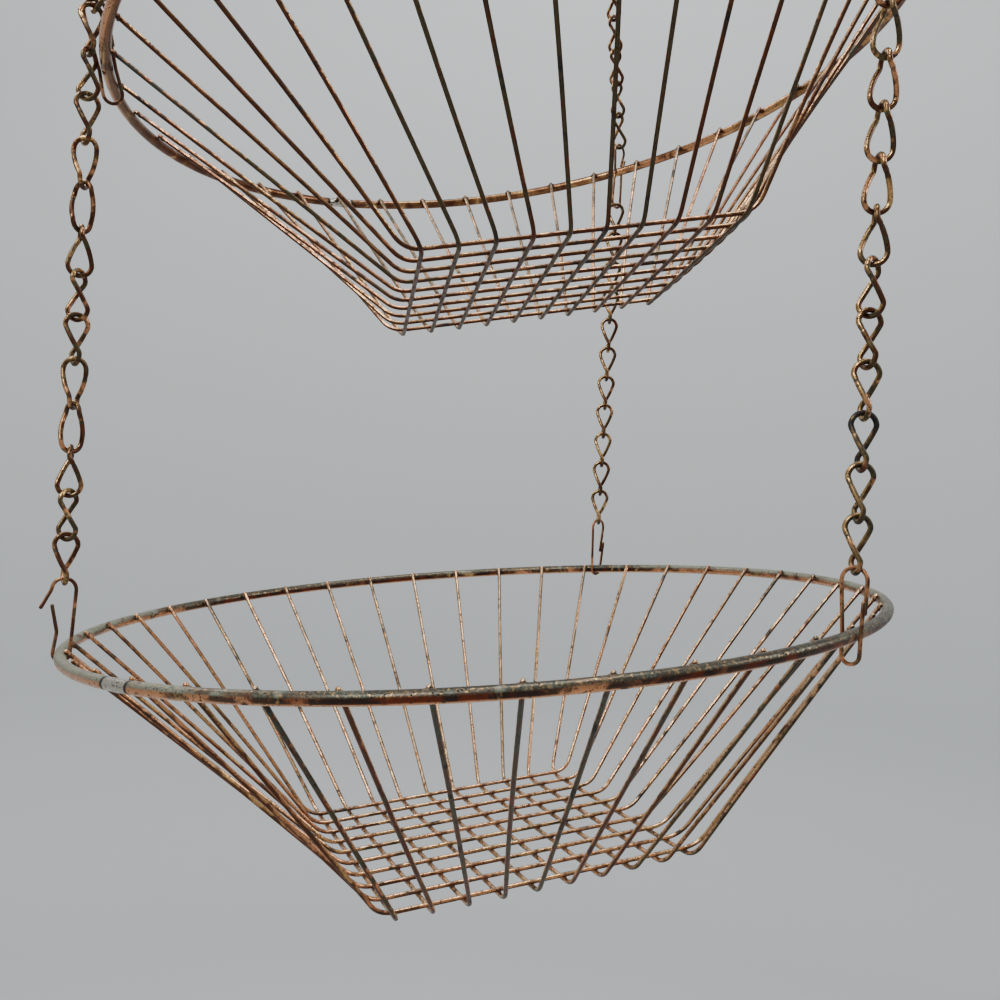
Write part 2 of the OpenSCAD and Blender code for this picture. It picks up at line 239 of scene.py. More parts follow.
class Layout:
    """Where every piece lies, worked out from the sizes and from the two rims of the frame."""

    def __init__(self, scene):
        self.basket, self.chain, self.hook = scene.basket_sizes, scene.chain_sizes, scene.hook_sizes
        self.ring, self.posture = scene.ring_sizes, scene.basket_posture
        chain, hook, posture = self.chain, self.hook, self.posture
        self.link_seat = chain.wire + chain.play
        self.hook_play = (hook.wire + chain.play) / 2
        self.rim_seat = (self.basket.rim_rod + hook.wire) / 2 + hook.gap
        self.chain_at = (posture.left_at, posture.right_at, posture.back_at)
        self.counts = (chain.left, chain.right, chain.back)
        self.lower = tilted(
            middle_of("lower_rim"), math.tan(posture.tilt_x), math.tan(posture.tilt_y), 0
        )
        self.place_chains()
        self.place_upper_basket()
        self.place_upper_hooks()
        self.place_runs()

    def on_rim(self, basket, at):
        return basket @ (self.basket.rim_r * Vector((math.cos(at), math.sin(at), 0)))

    def place_chains(self):
        """Plumb chains between the baskets, from the hooks on the lower rim up."""
        hook = self.hook
        self.lower_span = hook.lower - hook.wire
        full = self.lower_span - self.rim_seat
        self.lower_tops = (full, hook.caught, full)
        self.lower_seats = [self.on_rim(self.lower, at) for at in self.chain_at]
        self.feet = [
            seat + (top - self.hook_play) * UP
            for seat, top in zip(self.lower_seats, self.lower_tops)
        ]
        self.heads = [
            foot + count * self.chain.pitch * UP for foot, count in zip(self.feet, self.counts)
        ]

    def place_upper_basket(self):
        """Upper basket in the plane through the three heights at which its hooks hold it."""
        lifts = (-self.hook.upper_seat, self.hook.upper_seat, self.hook.upper_seat)
        held = [head + lift * UP for head, lift in zip(self.heads, lifts)]
        normal = (held[RIGHT] - held[LEFT]).cross(held[BACK] - held[LEFT])
        self.upper = tilted(
            middle_of("upper_rim"), -normal.x / normal.z, -normal.y / normal.z,
            self.posture.upper_turn,
        )
        steps = (self.hook.left_step, 0, 0)
        self.upper_seats = []
        for point, step in zip(held, steps):
            inside = self.upper.inverted() @ point
            self.upper_seats.append(
                self.on_rim(self.upper, math.atan2(inside.y, inside.x) + step)
            )

    def place_upper_hooks(self):
        """The left hook rides over its chain's first link, and the others carry a link."""
        hook = self.hook
        ride_over = self.link_seat / 2 + (self.chain.wire + hook.wire) / 2 + self.chain.play
        self.upper_span = hook.upper - hook.wire
        self.upper_ups, self.upper_tops = [], []
        for side, (head, seat) in enumerate(zip(self.heads, self.upper_seats)):
            if side == LEFT:
                up = head + ride_over * UP - seat
                self.upper_tops.append(up.length)
            else:
                up = seat - (head - self.hook_play * UP)
                self.upper_tops.append(self.upper_span - up.length)
            self.upper_ups.append(up.normalized())

    def place_runs(self):
        """Slanted runs of chain from the upper hooks to the gather link's bar."""
        ring, chain = self.ring, self.chain
        grip = (ring.ring_wire + ring.bar_wire) / 2 + chain.play
        self.ring_middle = -(ring.ring_r - ring.ring_wire / 2) * UP
        self.bow_middle = self.ring_middle - (ring.bar_half - grip + ring.ring_r) * UP
        self.bar_middle = self.bow_middle - ring.bar_leg * UP
        self.run_feet, self.run_heads = [], []
        for side, step in enumerate((0, -1, 1)):
            place = self.bar_middle + Vector((0, step * ring.bar_step, 0))
            if side == LEFT:
                reach = chain.bow - self.link_seat / 2
                middle = self.heads[side] - reach * UP
            else:
                reach = self.hook.bow - self.hook_play
                middle = (
                    self.upper_seats[side]
                    + (self.upper_tops[side] - self.hook.bow) * self.upper_ups[side]
                )
            along = (place - middle).normalized()
            self.run_feet.append(middle + reach * along)
            self.run_heads.append(place + (ring.bar_wire + chain.play) / 2 * along)

    def link_turn(self, side, j):
        """Turn of a link between the baskets, counted from the chain's top."""
        chain = self.chain
        if side == LEFT:
            return chain.first + chain.twist * (min(abs(j - 1), 2) + max(0, j - 3.3))
        if side == RIGHT:
            return chain.front + math.radians(90) * (1 - min(1, max(0, (j - 5.5) / 3)))
        return chain.front

    def run_turn(self, side):
        """Turn that a slanted run makes from the bar to its last link."""
        if side == LEFT:
            return self.link_turn(LEFT, 0)
        if side == RIGHT:
            return self.posture.right_at - math.radians(360)
        return self.posture.back_at + self.hook.back_up


def new_shape():
    """Empty bmesh with a tone, the same all over a wire, and a weld mark, which fades out."""
    bm = bmesh.new()
    bm.verts.layers.float.new("tone")
    bm.verts.layers.float.new("weld")
    return bm


def mark(bm, verts, tone, weld):
    tones, welds = bm.verts.layers.float["tone"], bm.verts.layers.float["weld"]
    for vert in verts:
        vert[tones] = tone
        vert[welds] = weld


def frames_along(path, closed):
    """A frame at each point of a path, with +Z along it, turned as little as possible."""
    count = len(path)
    if closed:
        tangents = [(path[(k + 1) % count] - path[k - 1]).normalized() for k in range(count)]
    else:
        tangents = [
            (path[min(k + 1, count - 1)] - path[max(k - 1, 0)]).normalized()
            for k in range(count)
        ]
    across = [tangents[0].orthogonal().normalized()]
    for before, after in zip(tangents, tangents[1:]):
        turned = before.rotation_difference(after) @ across[-1]
        across.append((turned - turned.project(after)).normalized())
    slip = 0
    if closed:
        last = tangents[-1].rotation_difference(tangents[0]) @ across[-1]
        slip = math.atan2(last.cross(across[0]).dot(tangents[0]), last.dot(across[0]))
    frames = []
    for k, (point, along, side) in enumerate(zip(path, tangents, across)):
        side = Quaternion(along, slip * k / count) @ side
        turn = Matrix((side, along.cross(side), along)).transposed().to_4x4()
        frames.append(Matrix.Translation(point) @ turn)
    return frames


def joined(bm, part):
    """Adds a finished part to a shape, and gives its points there."""
    mesh = bpy.data.meshes.new("part")
    part.to_mesh(mesh)
    part.free()
    before = len(bm.verts)
    bm.from_mesh(mesh)
    bpy.data.meshes.remove(mesh)
    bm.verts.ensure_lookup_table()
    return bm.verts[before:]


def sweep(whole, path, radius, sides, closed=False, tone=0.0, welds=None, swells=None):
    """Round wire along a path. Welds and swells give the mark and the share of the radius."""
    bm = new_shape()
    swells = swells or [1] * len(path)
    welds = welds or [0] * len(path)
    places = [
        place @ Matrix.Diagonal((swell, swell, 1, 1))
        for place, swell in zip(frames_along(path, closed), swells)
    ]
    ring = bmesh.ops.create_circle(bm, segments=sides, radius=radius, matrix=places[0])["verts"]
    mark(bm, ring, tone, welds[0])
    first = edges = list({edge for vert in ring for edge in vert.link_edges})
    for before, after, weld in zip(places, places[1:], welds[1:]):
        geom = bmesh.ops.extrude_edge_only(bm, edges=edges)["geom"]
        ring = [part for part in geom if isinstance(part, bmesh.types.BMVert)]
        edges = [
            part for part in geom if isinstance(part, bmesh.types.BMEdge) and part.is_boundary
        ]
        onward = after @ before.inverted()
        for vert in ring:
            vert.co = onward @ vert.co
        mark(bm, ring, tone, weld)
    if closed:
        bmesh.ops.bridge_loops(bm, edges=first + edges)
    else:
        bmesh.ops.contextual_create(bm, geom=first)
        bmesh.ops.contextual_create(bm, geom=edges)
    return joined(whole, bm)


DOME = ((0.35, 0.93), (0.62, 0.74), (0.78, 0.4))


def domed(path, radius, welds=None):
    """Path, welds and swells of an open wire, with its two cut ends rounded off."""
    head = (path[0] - path[1]).normalized()
    tail = (path[-1] - path[-2]).normalized()
    before = [path[0] + reach * radius * head for reach, share in reversed(DOME)]
    after = [path[-1] + reach * radius * tail for reach, share in DOME]
    shares = [share for reach, share in DOME]
    welds = welds or [0] * len(path)
    return {
        "path": before + path + after,
        "swells": shares[::-1] + [1] * len(path) + shares,
        "welds": [welds[0]] * len(DOME) + welds + [welds[-1]] * len(DOME),
    }


def arc(middle, radius, start, end, steps):
    """Points on an arc in the XZ plane, from angle to angle in degrees."""
    turns = [math.radians(start + (end - start) * k / steps) for k in range(steps + 1)]
    return [middle + radius * Vector((math.cos(a), 0, math.sin(a))) for a in turns]


def evened(path, step, closed=False):
    """The same line with its points about a step apart."""
    if closed:
        path = path + [path[0]]
    spans = [(b - a).length for a, b in zip(path, path[1:])]
    total = sum(spans)
    count = round(total / step)
    points, k, passed = [], 0, 0.0
    for n in range(count if closed else count + 1):
        goal = total * n / count
        while k < len(spans) - 1 and passed + spans[k] < goal:
            passed += spans[k]
            k += 1
        points.append(path[k].lerp(path[k + 1], (goal - passed) / spans[k]))
    return points


def softened(path, passes, closed=False):
    """The same line with its corners eased, and the ends of an open line kept."""
    for _ in range(passes):
        inner = [
            (path[k - 1] + 2 * path[k] + path[(k + 1) % len(path)]) / 4 for k in range(len(path))
        ]
        path = inner if closed else [path[0]] + inner[1:-1] + [path[-1]]
    return path


def copied(bm, verts, matrix, tone, weld_share=1.0):
    """Copy of a finished wire in another place, with a tone of its own."""
    edges = {edge for vert in verts for edge in vert.link_edges}
    faces = {face for vert in verts for face in vert.link_faces}
    geom = bmesh.ops.duplicate(bm, geom=[*verts, *edges, *faces])["geom"]
    made = [part for part in geom if isinstance(part, bmesh.types.BMVert)]
    bmesh.ops.transform(bm, matrix=matrix, verts=made)
    tones = bm.verts.layers.float["tone"]
    for vert in made:
        vert[tones] = tone
    return made


BODY_OF = {node: body for body, nodes in RECORD["behaviour"]["bodies"].items() for node in nodes}
SLOT_OF = {part["node"]: part["material_slot"] for part in RECORD["subparts"]}


def place_piece(bm, name, node, finish):
    """Makes the shape a piece of the object that stands for its CAD node."""
    bmesh.ops.recalc_face_normals(bm, faces=bm.faces)
    for face in bm.faces:
        face.smooth = True
    mesh = bpy.data.meshes.new(name)
    bm.to_mesh(mesh)
    bm.free()
    mesh.materials.append(finish)
    piece = bpy.data.objects.new(name, mesh)
    bpy.context.scene.collection.objects.link(piece)
    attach(piece, BODY_OF[node])
    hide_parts(node)
    return piece


class Shade:
    """A value in a material, so that shader maths reads as plain expressions."""

    def __init__(self, finish, socket):
        self.finish, self.socket = finish, socket

    def maths(self, operation, a, b):
        return self.finish.node("ShaderNodeMath", {"operation": operation}, {0: a, 1: b})

    def __add__(self, other):
        return self.maths("ADD", self, other)

    def __radd__(self, other):
        return self.maths("ADD", other, self)

    def __sub__(self, other):
        return self.maths("SUBTRACT", self, other)

    def __rsub__(self, other):
        return self.maths("SUBTRACT", other, self)

    def __mul__(self, other):
        return self.maths("MULTIPLY", self, other)

    def __rmul__(self, other):
        return self.maths("MULTIPLY", other, self)

    def larger(self, other):
        return self.maths("MAXIMUM", self, other)

    def step(self, low, high):
        """Rises smoothly from 0 to 1 between two values, or falls where low is the higher."""
        return self.finish.node(
            "ShaderNodeMapRange",
            {"interpolation_type": "SMOOTHSTEP"},
            {"Value": self, "From Min": low, "From Max": high},
        )


class Finish:
    """One finish under the maker's hands: bare plate first, then coats, then its relief."""

    def __init__(self, name, plate, roughness, metallic=1.0, relief=0.00008):
        self.material = bpy.data.materials.new(name)
        self.material.use_nodes = True
        self.tree = self.material.node_tree
        self.skin = next(n for n in self.tree.nodes if n.type == "BSDF_PRINCIPLED")
        self.plate, self.roughness, self.metallic = (*plate, 1), roughness, metallic
        self.height, self.relief = 0.5, relief
        spot = self.node("ShaderNodeTexCoord", output="Object")
        self.tone = self.node("ShaderNodeAttribute", {"attribute_name": "tone"}, output="Fac")
        self.weld = self.node("ShaderNodeAttribute", {"attribute_name": "weld"}, output="Fac")
        self.rise = self.node("ShaderNodeAttribute", {"attribute_name": "rise"}, output="Fac")
        shift = self.node(
            "ShaderNodeCombineXYZ", {}, {"X": self.tone * 7, "Y": self.tone * 3, "Z": self.tone * 5}
        )
        self.spot = self.node(
            "ShaderNodeVectorMath", {"operation": "ADD"}, {0: spot, 1: shift}, output="Vector"
        )
        self.x, self.y, self.z = (
            self.node("ShaderNodeSeparateXYZ", {}, {"Vector": spot}, output=axis)
            for axis in "XYZ"
        )
        facing = self.node("ShaderNodeTexCoord", output="Normal")
        self.facing_x, self.facing_y, self.facing_z = (
            self.node("ShaderNodeSeparateXYZ", {}, {"Vector": facing}, output=axis)
            for axis in "XYZ"
        )

    def node(self, kind, settings=None, values=None, output=0):
        made = self.tree.nodes.new(kind)
        for name, setting in (settings or {}).items():
            setattr(made, name, setting)
        for name, value in (values or {}).items():
            if isinstance(value, Shade):
                self.tree.links.new(value.socket, made.inputs[name])
            else:
                made.inputs[name].default_value = value
        return Shade(self, made.outputs[output])

    def cloud(self, size, detail=3, roughness=0.55, distortion=0.0):
        """Soft noise with features of a size in metres."""
        return self.node(
            "ShaderNodeTexNoise",
            {},
            {
                "Vector": self.spot, "Scale": 1 / size, "Detail": detail,
                "Roughness": roughness, "Distortion": distortion,
            },
            output=0,
        )

    def specks(self, size, share):
        """Round specks, one to each cell of a size in metres, that fade out at a share of the cell.
        """
        cells = self.node(
            "ShaderNodeTexVoronoi", {}, {"Vector": self.spot, "Scale": 1 / size}, output="Distance"
        )
        return cells.step(share, share * 0.4)

    def coat(self, mask, shade, roughness=None, metallic=None):
        """Lays a colour over what is there, where the mask is 1."""
        self.plate = self.node(
            "ShaderNodeMix", {"data_type": "RGBA"}, {0: mask, 6: self.plate, 7: (*shade, 1)},
            output=2,
        )
        if roughness is not None:
            self.roughness = self.blended(mask, self.roughness, roughness)
        if metallic is not None:
            self.metallic = self.blended(mask, self.metallic, metallic)

    def blended(self, mask, below, above):
        return self.node("ShaderNodeMix", {}, {0: mask, 2: below, 3: above})

    def raised(self, mask, share):
        """Raises the surface where the mask is 1, or sinks it where the share is negative."""
        self.height = self.height + mask * share

    def done(self):
        for name, value in (
            ("Base Color", self.plate), ("Roughness", self.roughness), ("Metallic", self.metallic),
        ):
            if isinstance(value, Shade):
                self.tree.links.new(value.socket, self.skin.inputs[name])
            else:
                self.skin.inputs[name].default_value = value
        bump = self.node("ShaderNodeBump", {}, {"Distance": self.relief, "Height": self.height})
        self.tree.links.new(bump.socket, self.skin.inputs["Normal"])
        return self.material


def pitted(finish, colours, share):
    """Fine dark pits and grain that all of the plating has."""
    pits = finish.specks(0.0011, 0.36) * finish.cloud(0.006).step(0.62 - share, 0.72 - share)
    grain = finish.cloud(0.0005, detail=2)
    finish.coat(pits, colours.black, 0.75, 0.4)
    finish.raised(pits, -0.8)
    finish.raised(grain, 0.5)
    finish.coat(grain.step(0.56, 0.74) * 0.55, colours.brown, 0.5)


def painted_highlight(finish, colour, share, roughness=0.26):
    """Painted highlight: bright plate along the upper left sides, where the key light falls, broken
    up where the tarnish below shows through.
    """
    side = (finish.facing_z * 0.6 - finish.facing_x * 0.65).step(0.30, 0.66)
    left = finish.cloud(0.0045, detail=4, distortion=0.6).step(0.66, 0.48)
    finish.coat(side * left * share, colour, roughness, 1.0)


def basket_wire_finish(name, colours, age, highlight_share):
    """Rose copper wire under brown, red and slate tarnish that differs from wire to wire, with
    painted shade on its undersides and a painted highlight on its upper left sides.
    """
    finish = Finish(name, colours.rose, 0.22)
    patches = finish.cloud(0.028, detail=4)
    streaks = finish.cloud(0.008, detail=5, distortion=0.7)
    flecks = finish.cloud(0.0014, detail=3, distortion=0.3)
    # Undersides, where the red and brown tarnish is laid on more thickly as painted shade.
    under = finish.facing_z.step(0.35, -0.75)
    to_right = finish.x.step(0.0, 0.08)
    far_right = finish.x.step(0.085, 0.125)
    finish.coat(finish.cloud(0.045).step(0.44, 0.62) * 0.8, colours.brass, 0.2)
    finish.coat((under * 0.35 + patches + far_right * 0.3).step(0.55, 0.85), colours.red, 0.32, 0.95)
    browned = (under * 0.22 + streaks).step(0.50 - age, 0.66 - age)
    finish.coat(browned * 0.9, colours.brown, 0.34, 0.95)
    finish.coat((finish.tone * 0.5 + streaks).step(0.80, 0.95) * 0.85, colours.olive, 0.4, 0.9)
    darkened = (finish.tone + patches + to_right * 0.35).step(1.0, 1.3)
    near_rim = finish.rise.step(0.45, 0.95) * darkened
    finish.coat(near_rim * streaks.step(0.36, 0.5) * 0.9, colours.slate, 0.4, 0.8)
    # Painted highlight in tan along the upper left sides.
    painted_highlight(finish, colours.tan, highlight_share)
    finish.coat(flecks.step(0.54, 0.66) * 0.8, colours.brown, 0.5, 0.7)
    crust = finish.cloud(0.012, detail=5).step(0.55, 0.68) * flecks.step(0.34, 0.52)
    finish.coat(crust * 0.9, colours.black, 0.6, 0.5)
    finish.raised(flecks, 0.4)
    finish.coat(finish.weld * 0.8, colours.brown, 0.6, 0.6)
    pitted(finish, colours, 0.12 + age)
    return finish.done()


def weld_band(finish, colours, flecks):
    """Bare metal at a butt weld, with dark scale at its edges and middle."""
    finish.coat(finish.weld.step(0.02, 0.3), colours.black, 0.5, 0.6)
    bare = finish.weld.step(0.40, 0.62) * flecks.step(0.68, 0.54)
    finish.coat(bare, colours.silver, 0.22, 1.0)


def lower_rim_finish(name, colours):
    """Rod with sage bloom on top, and copper, dark red and black along its front and underside."""
    finish = Finish(name, colours.rose, 0.27)
    patches = finish.cloud(0.035, detail=4)
    streaks = finish.cloud(0.010, detail=5, distortion=0.8)
    flecks = finish.cloud(0.0009, detail=3, distortion=0.3)
    ends = (finish.x * finish.x).step(0.008, 0.02)
    left_end = finish.x.step(-0.10, -0.145)
    right_end = finish.x.step(0.10, 0.135)
    side = finish.facing_z.step(-0.80, -0.45)
    finish.coat(side * (patches - ends * 0.2).step(0.38, 0.52), colours.red, 0.38, 0.9)
    finish.coat(side * (streaks - ends * 0.12).step(0.40, 0.54) * 0.9, colours.black, 0.4, 0.7)
    finish.coat(streaks.step(0.60, 0.72) * 0.8, colours.brass, 0.28)
    on_top = finish.facing_z.step(0.02, 0.42)
    finish.coat(on_top * 0.9, colours.slate, 0.4, 0.85)
    bloomed = (streaks + left_end * 0.30 + right_end * 0.26).step(0.52, 0.72)
    finish.coat(on_top * bloomed * 0.8, colours.bloom, 0.55, 0.4)
    finish.coat(on_top * flecks.step(0.52, 0.68) * 0.45, colours.brass, 0.3, 1.0)
    finish.coat((1 - on_top) * flecks.step(0.56, 0.68) * 0.7, colours.brown, 0.4, 0.9)
    finish.coat(finish.cloud(0.007, detail=5).step(0.62, 0.70), colours.brown, 0.55, 0.6)
    weld_band(finish, colours, flecks)
    pitted(finish, colours, 0.2)
    return finish.done()


def upper_rim_finish(name, colours):
    """Rod that stays brassy at its left end, and is orange and red-brown beyond, with painted shade
    in brown on all but its sides that face the key light.
    """
    finish = Finish(name, colours.rose, 0.22)
    patches = finish.cloud(0.035, detail=4)
    streaks = finish.cloud(0.009, detail=5, distortion=0.8)
    flecks = finish.cloud(0.0013, detail=3, distortion=0.3)
    beyond = finish.x.step(-0.15, -0.12)
    finish.coat(patches.step(0.44, 0.56) * 0.8, colours.brass, 0.22)
    # Painted shade: brown over all sides but those that face -X, towards the key light, which stay
    # bright.
    finish.coat(finish.facing_x.step(-0.5, 0.2) * 0.85, colours.brown, 0.3, 0.95)
    finish.coat(beyond * patches.step(0.46, 0.62) * 0.6, colours.red, 0.34, 0.95)
    finish.coat(beyond * streaks.step(0.44, 0.60) * 0.85, colours.brown, 0.36, 0.95)
    finish.coat(beyond * streaks.step(0.42, 0.32) * 0.8, colours.brass, 0.24)
    finish.coat((1 - beyond) * streaks.step(0.52, 0.66) * 0.7, colours.brown, 0.35, 0.95)
    finish.coat(finish.facing_z.step(0.3, 0.9) * patches.step(0.45, 0.6) * 0.8, colours.olive, 0.45)
    finish.coat(flecks.step(0.62, 0.70) * 0.8, colours.brown, 0.5, 0.7)
    weld_band(finish, colours, flecks)
    pitted(finish, colours, 0.12)
    return finish.done()


def chain_finish(name, colours):
    """Dark bronze links with a painted gold highlight on their upper left sides, some green and some
    nearly black.
    """
    finish = Finish(name, colours.brass, 0.27)
    patches = finish.cloud(0.011, detail=4)
    streaks = finish.cloud(0.0035, detail=4, distortion=0.6)
    flecks = finish.cloud(0.0012, detail=3, distortion=0.3)
    finish.coat(patches.step(0.32, 0.46), colours.brown, 0.32, 0.95)
    finish.coat((finish.tone * 0.3 + streaks).step(0.56, 0.70) * 0.9, colours.olive, 0.45, 0.85)
    finish.coat(finish.cloud(0.007).step(0.56, 0.66) * 0.8, colours.rose, 0.3, 1.0)
    finish.coat(finish.cloud(0.009, detail=4).step(0.60, 0.68) * 0.8, colours.red, 0.4, 0.9)
    topside = finish.facing_z.step(0.2, 0.85) * streaks.step(0.54, 0.64)
    finish.coat(topside * 0.35, colours.bloom, 0.55, 0.5)
    # Painted highlight in brass along the upper left sides.
    painted_highlight(finish, colours.brass, 0.75, 0.2)
    finish.coat(flecks.step(0.54, 0.66) * 0.7, colours.brown, 0.5, 0.7)
    finish.raised(flecks, 0.4)
    finish.coat(finish.tone.step(0.72, 0.95) * patches.step(0.62, 0.42), colours.black, 0.5, 0.5)
    finish.coat(finish.weld, colours.black, 0.7, 0.3)
    pitted(finish, colours, 0.2)
    return finish.done()


def hook_finish(name, colours):
    """Dark brown hook wire with a dull copper shine and a painted copper highlight on its upper left
    sides.
    """
    finish = Finish(name, colours.rose, 0.3)
    finish.coat(finish.cloud(0.009, detail=4).step(0.34, 0.52), colours.brown, 0.42, 0.85)
    finish.coat(finish.cloud(0.004, detail=4).step(0.48, 0.62) * 0.85, colours.olive, 0.45, 0.8)
    # Painted highlight in rose copper along the upper left sides.
    painted_highlight(finish, colours.rose, 0.6)
    pitted(finish, colours, 0.16)
    return finish.done()


FINISHES = {
    "lower_rim": lower_rim_finish,
    "upper_rim": upper_rim_finish,
    # The two wire finishes differ in age and in the share of their painted highlight.
    "lower_basket_wire": lambda name, colours: basket_wire_finish(name, colours, 0.01, 0.85),
    "upper_basket_wire": lambda name, colours: basket_wire_finish(name, colours, 0.07, 0.4),
    "chain_wire": chain_finish,
    "hook_wire": hook_finish,
    "ring_wire": chain_finish,
}


def finish_for(node):
    """The finish of a node's material slot, made when it is first wanted."""
    slot = SLOT_OF[node]
    name = "aged_" + slot
    if name not in bpy.data.materials:
        FINISHES[slot](name, bpy.context.scene.basket_colours)
    return bpy.data.materials[name]


class RingOperator(bpy.types.Operator):
    """Hanging ring and the gather link that hangs in it"""

    bl_idname = "fruit_basket.ring"
    bl_label = "Ring and gather link"

    def execute(self, context):
        layout = Layout(context.scene)
        ring = layout.ring
        bm = new_shape()
        path = arc(layout.ring_middle, ring.ring_r, 0, 360, 96)[:-1]
        sweep(bm, path, ring.ring_wire / 2, 16, closed=True, tone=0.2)
        place_piece(bm, "top_ring_wire", "top_ring", finish_for("top_ring"))
        half, leg = ring.bar_half, ring.bar_leg * UP
        corner = Vector((half, 0, 0))
        path = [-corner, corner, *arc(leg, half, 0, 180, 40)]
        path = softened(evened(path, ring.bar_wire * 0.4, closed=True), 4, closed=True)
        bm = new_shape()
        verts = sweep(bm, path, ring.bar_wire / 2, 14, closed=True, tone=0.4)
        turn = Matrix.Translation(layout.bar_middle) @ Matrix.Rotation(math.radians(90), 4, "Z")
        bmesh.ops.transform(bm, matrix=turn, verts=verts)
        place_piece(bm, "gather_link_wire", "gather_link", finish_for("gather_link"))
        return {"FINISHED"}


LINK_SIDES = 10
LINK_STEP = 0.8
LEG_STEPS = 6
LEG_DRAW = 0.12
SEAM_AT = 0.32


def master_link(bm, chain, pitch):
    """One twist link, its top bow in the XZ plane and its bottom bow in YZ, with a butt seam."""
    rise = ((pitch + chain.wire + chain.play) / 2 - chain.bow) * UP
    quarter = Matrix.Rotation(math.radians(90), 3, "Z")
    top = arc(rise, chain.bow, 0, 180, 14)
    bottom = [quarter @ point for point in arc(-rise, chain.bow, 180, 360, 14)]
    leg = []
    for k in range(1, LEG_STEPS):
        share = k / LEG_STEPS
        out = chain.bow * (1 - LEG_DRAW * math.sin(math.pi * share))
        turned = Matrix.Rotation(math.radians(90) * share, 3, "Z") @ Vector((out, 0, 0))
        leg.append(turned + (1 - 2 * share) * rise)
    half_turn = Matrix.Rotation(math.radians(180), 3, "Z")
    path = [*top, *(half_turn @ point for point in leg), *bottom, *reversed(leg)]
    path = softened(evened(path, chain.wire * LINK_STEP / 2, closed=True), 1, closed=True)
    seam = round(SEAM_AT * len(path))
    swells = [1.0] * len(path)
    welds = [0.0] * len(path)
    swells[seam], welds[seam] = 0.86, 0.8
    return sweep(
        bm, path, chain.wire / 2, LINK_SIDES, closed=True, welds=welds, swells=swells
    )


def chain_piece(layout, node, places, tones):
    """A run of links, copied from one master link to their places."""
    bm = new_shape()
    pitch = places[0][1]
    verts = master_link(bm, layout.chain, pitch)
    for (matrix, _), tone in zip(places, tones):
        copied(bm, verts, matrix, tone)
    bmesh.ops.delete(bm, geom=verts, context="VERTS")
    kind = "_links" if "chain" in node else "_wire"
    place_piece(bm, node + kind, node, finish_for(node))


class UpperChainOperator(bpy.types.Operator):
    """Three slanted runs of chain from the gather link to the upper hooks"""

    bl_idname = "fruit_basket.upper_chains"
    bl_label = "Upper chains"

    def execute(self, context):
        layout = Layout(context.scene)
        rng = random.Random(11)
        for side, name in enumerate(SIDES):
            foot, head = layout.run_feet[side], layout.run_heads[side]
            run = head - foot
            count = round(run.length / layout.chain.pitch)
            turn = layout.run_turn(side)
            places = [
                (
                    Matrix.Translation(head - (j + 0.5) / count * run)
                    @ aimed(run, turn * j / (count - 1)),
                    run.length / count,
                )
                for j in range(count)
            ]
            tones = [rng.random() * 0.7 for _ in places]
            chain_piece(layout, "upper_chain_" + name, places, tones)
        return {"FINISHED"}


BLACK_LINKS = {RIGHT: {10: 1.0, 11: 0.84, 12: 0.8, 9: 0.74}}


class ChainOperator(bpy.types.Operator):
    """Chains between the baskets, cut where the lower basket's sway bends them"""

    bl_idname = "fruit_basket.chains"
    bl_label = "Chains between the baskets"

    def execute(self, context):
        layout = Layout(context.scene)
        rng = random.Random(12)
        for side, name in enumerate(SIDES):
            count, pitch = layout.counts[side], layout.chain.pitch
            first = count - layout.chain.sway
            places = [
                (
                    Matrix.Translation(layout.heads[side] - (j + 0.5) * pitch * UP)
                    @ Matrix.Rotation(layout.link_turn(side, j), 4, "Z"),
                    pitch,
                )
                for j in range(count)
            ]
            tones = [rng.random() * 0.7 for _ in places]
            for j, tone in BLACK_LINKS.get(side, {}).items():
                tones[j] = tone
            stretches = {
                "middle_chain_": (0, first), "pivot_link_": (first, first + 1),
                "lower_chain_": (first + 1, count - 1), "last_link_": (count - 1, count),
            }
            for kind, (start, end) in stretches.items():
                chain_piece(layout, kind + name, places[start:end], tones[start:end])
        return {"FINISHED"}


TIP_SHARES = (0.62, 0.42)
SPRUNG_SHARES = (0.74, 0.72)
SPRUNG_BEND = 0.0014
HOOK_SIDES = 10


def hook_shape(hook, top, foot, foot_bow, waist, opened, tone):
    """Waisted hook round the rod at the origin, its two ends side by side on the leg at +X."""
    head_z, foot_z = (top - hook.bow) * UP, (foot_bow - foot) * UP
    waisted = -foot_z.z > waist
    waist_side = Vector((waist, 0, 0))
    elbow = waist_side if waisted else foot_z + Vector((foot_bow, 0, 0))
    head = head_z + Vector((hook.bow, 0, 0))
    low_share, high_share = SPRUNG_SHARES if opened else TIP_SHARES
    low_tip = elbow + low_share * (head - elbow) - Vector((0, hook.tip_step, 0))
    high_tip = elbow + high_share * (head - elbow) + Vector((opened, hook.tip_step, 0))
    path = [low_tip, *([elbow] if waisted else []), *arc(foot_z, foot_bow, 0, -180, 20)]
    if opened:
        bend = Vector((SPRUNG_BEND, 0, 0))
        path = [low_tip, low_tip.lerp(elbow, 0.55) - bend, *path[1:]]
    path += [*([-waist_side] if waisted else []), *arc(head_z, hook.bow, 180, 0, 20), high_tip]
    path = softened(evened(path, hook.wire * 0.4), 1)
    bm = new_shape()
    sweep(bm, radius=hook.wire / 2, sides=HOOK_SIDES, tone=tone, **domed(path, hook.wire / 2))
    return bm


